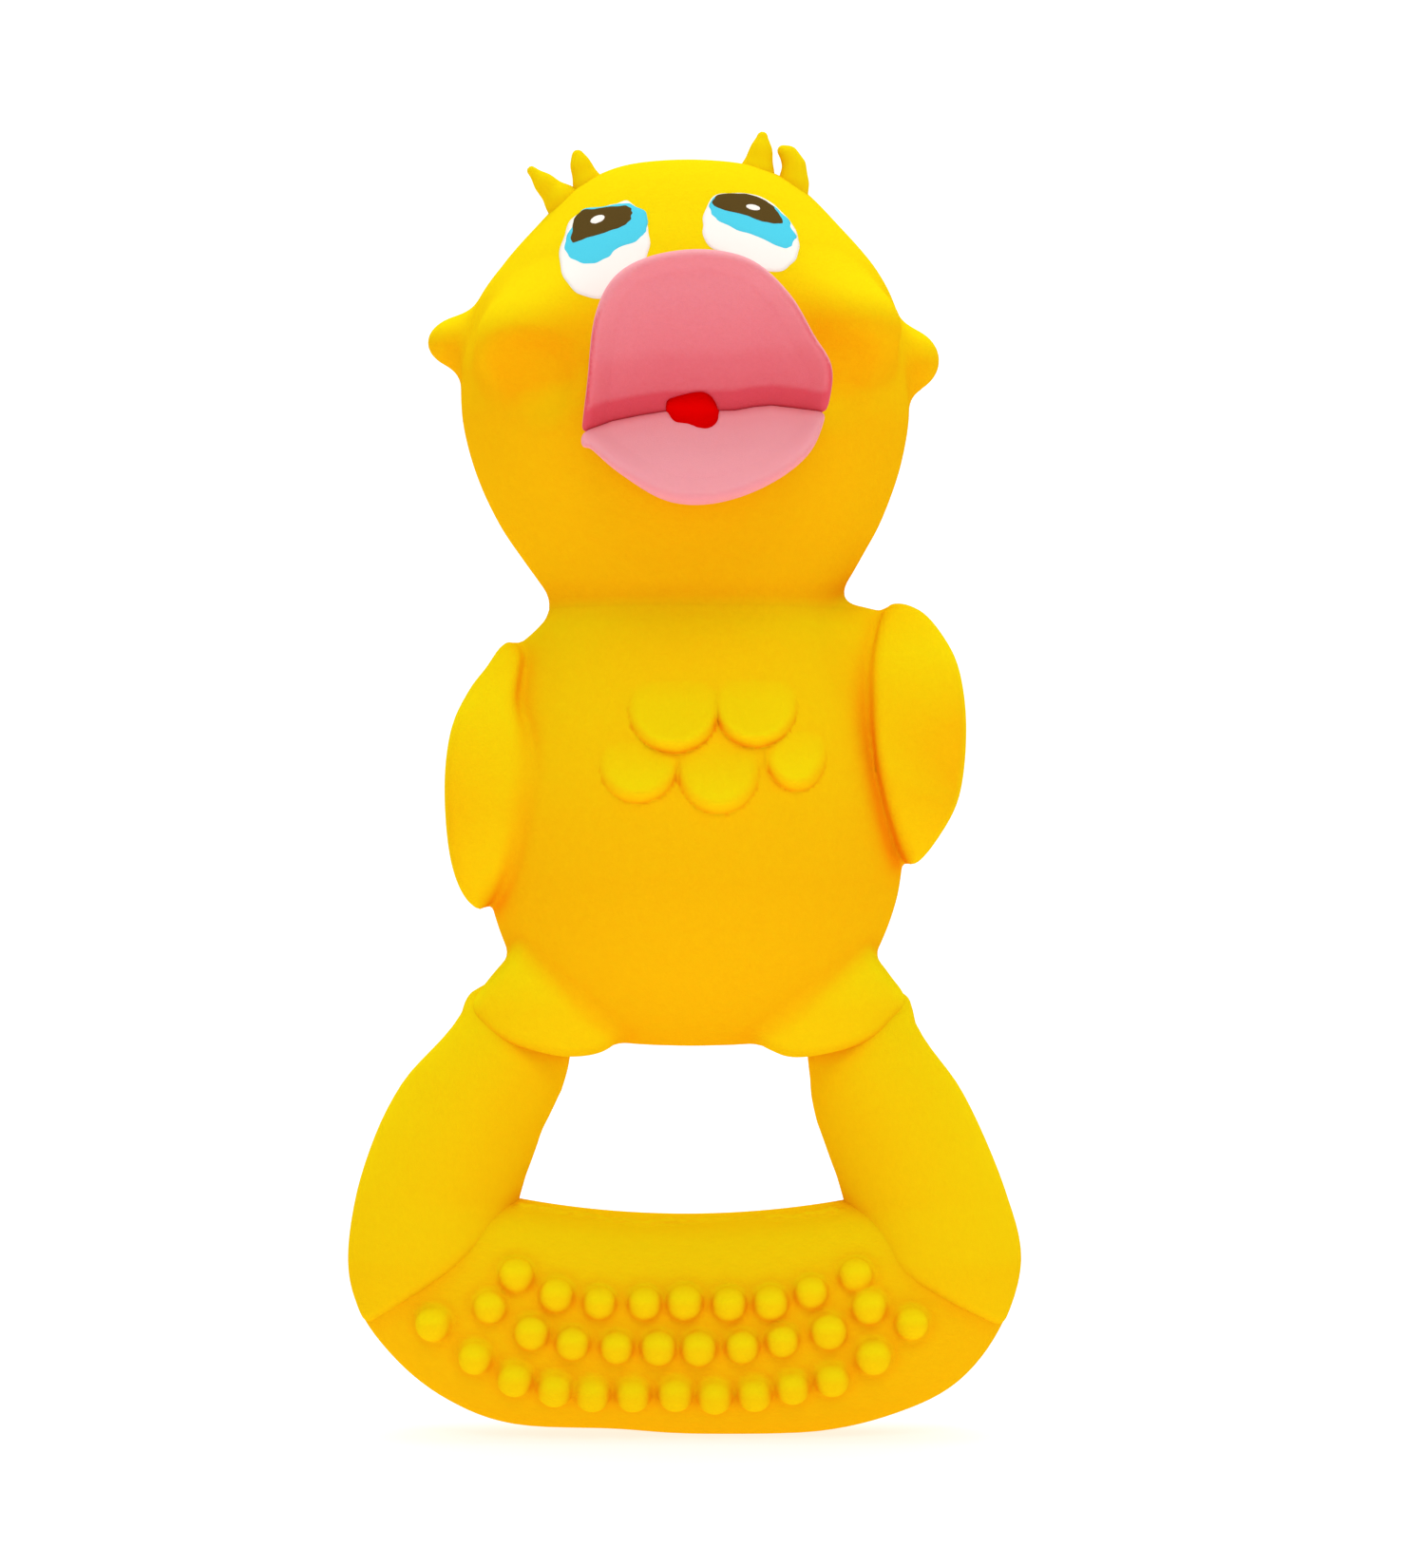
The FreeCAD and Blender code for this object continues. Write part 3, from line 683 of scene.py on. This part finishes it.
def rubbery(name, unshaded_colour, shade_and_mottle_colour, rough=0.65, scatter=0.1, grain=0.35, mottle=0.12, fleck=None):
    """Matte latex or paint with painted shade: deeper in creases and undersides and lighter on raised parts,
    after the shade attribute, with mottling, a grain and maybe flecks.
    """
    mat, nodes, links, shader = principled(name)
    for key, value in (("Roughness", rough), ("Subsurface Weight", scatter), ("Subsurface Scale", 0.0024),
                       ("Subsurface Radius", (1.0, 0.7, 0.2)), ("Specular IOR Level", 0.0)):
        shader.inputs[key].default_value = value
    # The painted shade, as stored on the mesh by shade_from.
    shade = nodes.new("ShaderNodeAttribute")
    shade.attribute_name = "shade"
    blotch = add_math(nodes, links, noise(nodes, 55.0, 3.0), mottle, -mottle / 2)
    painted_shade_and_mottle = add_math(nodes, links, shade.outputs["Fac"], 1.0, blotch)
    mix = nodes.new("ShaderNodeMix")
    mix.data_type = "RGBA"
    mix.clamp_factor = True
    mix.inputs[6].default_value = unshaded_colour
    mix.inputs[7].default_value = shade_and_mottle_colour
    links.new(painted_shade_and_mottle, mix.inputs[0])
    colour = mix.outputs[2]
    if fleck:
        spots = nodes.new("ShaderNodeMapRange")
        spots.inputs["From Min"].default_value, spots.inputs["From Max"].default_value = FLECK_FROM, FLECK_FULL
        links.new(noise(nodes, 900.0, 1.0), spots.inputs["Value"])
        over = nodes.new("ShaderNodeMix")
        over.data_type = "RGBA"
        over.inputs[7].default_value = fleck
        links.new(spots.outputs["Result"], over.inputs[0])
        links.new(colour, over.inputs[6])
        colour = over.outputs[2]
    links.new(colour, shader.inputs["Base Color"])
    bump = nodes.new("ShaderNodeBump")
    bump.inputs["Strength"].default_value = grain
    bump.inputs["Distance"].default_value = GRAIN_DEPTH
    height = add_math(nodes, links, noise(nodes, 160.0, 3.0), 3.0, noise(nodes, 1700.0, 2.0))
    links.new(height, bump.inputs["Height"])
    links.new(bump.outputs[0], shader.inputs["Normal"])
    return mat


# Each material: its unshaded colour, then its colour under full painted shade, which the mottling also drifts
# towards.
YELLOW = rubbery("yellow_latex", linear(251, 222, 12), linear(247, 157, 8))
PINK = rubbery("pink_paint", linear(253, 170, 178), linear(226, 84, 98), mottle=0.10,
               fleck=linear(150, 72, 58))
RED = rubbery("red_paint", linear(250, 1, 2), linear(240, 0, 1), scatter=0.0)
WHITE = rubbery("white_paint", linear(255, 250, 242), linear(246, 232, 216), scatter=0.0, grain=0.2)
BLUE = rubbery("blue_paint", linear(84, 212, 236), linear(46, 186, 232), scatter=0.0, grain=0.2, mottle=0.6)
BLACK = rubbery("black_paint", linear(92, 72, 34), linear(46, 34, 18), scatter=0.0, grain=0.2, mottle=0.5)
PLASTIC = rubbery("squeaker_plastic", linear(236, 236, 230), linear(200, 200, 196), scatter=0.1, grain=0.05)
REED = rubbery("reed_plastic", linear(200, 40, 34), linear(150, 20, 20), scatter=0.0, grain=0.02)

for name, node in frame["nodes"].items():
    node.data.materials.clear()
    node.data.materials.append(REED if name == "squeaker_reed" else PLASTIC)

STEP = 0.5


def span(margin, *nodes):
    low, high = box(*nodes)
    return low - margin, high + margin


def finish_piece(piece, slot, *nodes):
    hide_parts(*nodes)


# Skin pieces
HEAD_NODES = ("head_skin", "neck_band", "left_cheek_nub", "right_cheek_nub")
head = field_object("head_latex", head_piece, *span(4, *HEAD_NODES), STEP, YELLOW, skin=figure)
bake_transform(head)
finish_piece(head, "yellow_latex", *HEAD_NODES)

TORSO_NODES = ("torso_skin", "belly_panel", "upper_chest_feathers", "lower_chest_feathers", "left_wing",
               "right_wing", "left_thigh_cuff", "right_thigh_cuff", "squeaker_grommet")
torso = field_object("torso_latex", torso_piece, *span(5, *TORSO_NODES, "neck_band"), STEP, YELLOW, skin=figure,
                     plain=plain_torso)
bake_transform(torso)
finish_piece(torso, "yellow_latex", *TORSO_NODES)

low, high = span(4, "foot_bar", "left_leg", "right_leg")
high[2] = BAR_HIGH[2] + 9
# Less painted shade on the bar; its nubs and mould rib, raised from the plain bar, are painted lighter.
foot = field_object("foot_bar_latex", bar_field, low, high, STEP, YELLOW, strength=0.85, plain=plain_bar)
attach(foot, "handle")
finish_piece(foot, "yellow_latex", "foot_bar", *NUB_COUNTS)

for side in SIGN:
    # The legs get a little over half the painted shade.
    leg = field_object(f"{side}_leg_latex", lambda p: leg_field(p, side), *span(4, f"{side}_leg"), STEP, YELLOW,
                       strength=0.6)
    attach(leg, "handle")
    finish_piece(leg, "yellow_latex", f"{side}_leg")

# Bill and throat
low, high = span(5, "upper_bill", "lower_bill")
# Painted shade on the bill: the palate is painted darker near the crease and lighter farther above it, over a
# height set by PALATE_FADE; the lower jaw gets only a little painted shade.
PALATE_FADE = 7.0
for name, field, body, strength, plain in (
        ("upper_bill", upper_field, "head", 1.35, lambda p: (p[2] - crease(p[0])) / PALATE_FADE),
        ("lower_bill", lower_field, "lower_bill", 0.35, None)):
    piece = field_object(name + "_latex", field, low, high, STEP * 0.7, PINK, strength=strength, plain=plain)
    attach(piece, body)
    finish_piece(piece, "pink_paint", name)

low, high = span(3, "throat")
throat = field_object("throat_latex", throat_field, low, high, 0.3, RED)
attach(throat, "head")
finish_piece(throat, "red_paint", "throat")

# Tufts: (x, z, r) down each rubber point, as offsets from the joint at its foot
TUFTS = {
    "left_outer_tuft": [(2.7, -2.5, 2.4), (1.3, -0.5, 2.0), (-0.9, 1.7, 1.05), (-2.6, 3.4, 0.6)],
    "left_inner_tuft": [(0.7, -4.0, 2.4), (0.1, -1.2, 1.6), (-0.8, 1.1, 1.0), (-1.2, 2.4, 0.65)],
    "right_inner_tuft": [(-0.8, -4.3, 2.9), (-0.3, -1.2, 1.9), (0.2, 1.4, 1.15), (0.4, 3.3, 0.65)],
    "right_outer_tuft": [(-1.0, -3.0, 2.3), (-0.6, 0.1, 1.6), (-0.5, 2.2, 1.1), (-1.2, 3.6, 0.75),
                         (-2.0, 4.1, 0.5)],
}
for name, shape in TUFTS.items():
    foot = joint(name + "_flex") - (0, 1, 0)
    stations = [(foot[0] + x, foot[1], foot[2] + z, r) for x, z, r in shape]
    # The tufts get less than half the painted shade.
    tuft = field_object(name + "_latex", lambda p: tapered(p, stations, 1.3), foot - 9, foot + 8, 0.35, YELLOW,
                        strength=0.4)
    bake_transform(tuft)
    finish_piece(tuft, "yellow_latex", name)


# Painted eyes

def paint(name, centre, shape, lift, material, seed):
    """A thin closed patch of paint that follows the head, with a slightly brushed edge."""
    rng = np.random.default_rng(seed)
    loop = smooth_loop(shape, steps=12)
    spokes, rings = len(loop), 12
    angle = np.linspace(0, 2 * math.pi, spokes, endpoint=False)
    edge = np.ones(spokes)
    for k in range(5, 18):
        edge += 0.008 * rng.uniform(-1, 1) * np.sin(k * angle + rng.uniform(0, 6.3))
    share = np.linspace(0, 1, rings + 1)[1:]
    x = centre[0] + share[:, None] * loop[:, 0] * edge
    z = centre[2] + share[:, None] * loop[:, 1] * edge
    x, z = np.append(x.ravel(), centre[0]), np.append(z.ravel(), centre[2])
    pts = np.stack([x, front_y(head_field, x, z), z], -1)
    g = gradient(head_field, pts)
    normals = g / np.sqrt((g ** 2).sum(1))[:, None]
    rise = np.append(np.repeat(lift * (1 - share ** 10 * 0.8), spokes), lift)
    verts = np.concatenate([pts + normals * rise[:, None], pts - normals * 0.25])
    size, hub = len(pts), len(pts) - 1
    faces = []
    for k in range(spokes):
        n = (k + 1) % spokes
        for r in range(rings - 1):
            a, b, c, d = r * spokes + k, r * spokes + n, (r + 1) * spokes + n, (r + 1) * spokes + k
            faces += [(a, d, c, b), (size + a, size + b, size + c, size + d)]
        last = (rings - 1) * spokes
        faces += [(hub, k, n), (size + hub, size + n, size + k),
                  (last + k, size + last + k, size + last + n, last + n)]
    clockwise = np.sum(loop[:, 0] * np.roll(loop[:, 1], -1) - loop[:, 1] * np.roll(loop[:, 0], -1)) < 0
    if clockwise:
        faces = [f[::-1] for f in faces]
    return make_object(name, verts, faces, material)


def oval(half_width, half_height, lean):
    angles = np.linspace(0, 2 * math.pi, 10, endpoint=False)
    return [turned(half_width * math.cos(a), half_height * math.sin(a), -lean) for a in angles]


# Each coat's outline, as offsets from the middle of its node
EYES = {
    "left": {
        "white": [(2.75, 6.2), (4.9, 4.0), (5.4, 1.0), (4.9, -1.9), (2.85, -4.7), (-0.25, -6.15), (-3.45, -5.1),
                  (-5.2, -2.0), (-5.1, 1.7), (-3.45, 5.0), (-0.05, 5.75)],
        "iris": [(2.85, 4.1), (4.9, 2.6), (5.1, 0.7), (4.2, -1.0), (1.8, -1.95), (0.55, -3.1), (-1.6, -4.0),
                 (-3.95, -3.3), (-5.0, -1.55), (-4.3, 1.25), (-2.65, 3.6), (-0.05, 3.9)],
        "pupil": [(-2.7, 2.05), (-0.2, 2.3), (3.0, 2.45), (4.0, 1.45), (3.5, -0.1), (1.35, -1.05),
                  (-1.85, -1.95),
                  (-3.8, -2.35), (-3.7, -0.1)],
        "glint": oval(1.02, 0.56, 20)},
    "right": {
        "white": [(-4.45, 4.55), (-5.65, 1.75), (-5.7, -0.6), (-4.25, -2.5), (-0.7, -4.05), (2.6, -5.05),
                  (4.95, -3.8), (5.8, -1.25), (4.75, 1.65), (2.5, 4.05), (-0.8, 5.15)],
        "iris": [(-4.45, 3.25), (-5.25, 1.4), (-4.55, 0.15), (-2.2, -1.2), (0.6, -2.1), (3.5, -3.45),
                 (4.85, -3.15), (5.25, -1.5), (4.15, 0.75), (2.25, 2.55), (-1.25, 3.65)],
        "pupil": [(-4.0, 1.85), (-0.95, 2.25), (1.55, 1.65), (3.3, 0.2), (4.2, -1.65), (1.95, -1.75),
                  (-0.7, -0.85), (-4.35, 0.2)],
        "glint": oval(0.97, 0.41, -10)},
}
COATS = {"white": (WHITE, 0.12, "white_paint"), "iris": (BLUE, 0.19, "blue_paint"),
         "pupil": (BLACK, 0.26, "black_paint"), "glint": (WHITE, 0.33, "white_paint")}
for side, coats in EYES.items():
    for order, (coat, shape) in enumerate(coats.items()):
        material, lift, slot = COATS[coat]
        node = f"{side}_eye_{coat}"
        seed = order + (10 if side == "left" else 20)
        patch = paint(node + "_coat", middle(node), shape, lift, material, seed=seed)
        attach(patch, "head")
        finish_piece(patch, slot, node)

# Studio
floor_mat, _, _, floor_shader = principled("studio_floor")
for key, value in (("Base Color", (0.45, 0.45, 0.45, 1)), ("Roughness", 0.9), ("Specular IOR Level", 0.0),
                   ("Emission Color", (1, 1, 1, 1)), ("Emission Strength", 0.7)):
    floor_shader.inputs[key].default_value = value
rows = [(y, 0.0) for y in np.linspace(-1.4, 0.6, 6)]
rows += [(0.6 + 0.6 * math.sin(a), 0.6 - 0.6 * math.cos(a)) for a in np.linspace(0.1, math.pi / 2, 14)]
rows += [(1.2, 2.4)]
verts = [(x, y, z) for y, z in rows for x in (-3.0, 3.0)]
faces = [(2 * k, 2 * k + 1, 2 * k + 3, 2 * k + 2) for k in range(len(rows) - 1)]
make_object("studio_floor", np.array(verts) * 1000, faces, floor_mat)

world = bpy.data.worlds.new("studio")
world.use_nodes = True
world.node_tree.nodes["Background"].inputs[0].default_value = (1, 1, 1, 1)
world.node_tree.nodes["Background"].inputs[1].default_value = 0.56
bpy.context.scene.world = world


def area(name, place, target, size, power):
    data = bpy.data.lights.new(name, "AREA")
    data.shape = "SQUARE"
    data.size = size
    data.energy = power
    lamp = bpy.data.objects.new(name, data)
    lamp.location = place
    lamp.rotation_euler = (Vector(target) - Vector(place)).to_track_quat("-Z", "Y").to_euler()
    bpy.context.scene.collection.objects.link(lamp)


area("key", (0.1, -0.88, 0.74), (0, 0, 0.08), 0.45, 2.5)
area("backdrop", (0, 0.35, 1.5), (0, 0.9, 0.2), 1.2, 12.0)

# The camera looks straight along +Y at the middle of the object, a little to its right
CAMERA_DISTANCE, FRAME_HEIGHT, CAMERA_SIDE, CAMERA_DROP = 0.650, 0.1926, 0.0033, 0.0003
camera_data = bpy.data.cameras.new("camera")
camera_data.sensor_fit = "VERTICAL"
camera_data.sensor_height = 36.0
camera_data.lens = 36.0 * CAMERA_DISTANCE / FRAME_HEIGHT
camera = bpy.data.objects.new("camera", camera_data)
(low_x, low_y, low_z), (high_x, high_y, high_z) = cad_box
camera.location = ((low_x + high_x) / 2 + CAMERA_SIDE, -CAMERA_DISTANCE, (low_z + high_z) / 2 - CAMERA_DROP)
camera.rotation_euler = (math.pi / 2, 0, 0)
bpy.context.scene.collection.objects.link(camera)
bpy.context.scene.camera = camera
bpy.context.scene.view_settings.view_transform = "Standard"
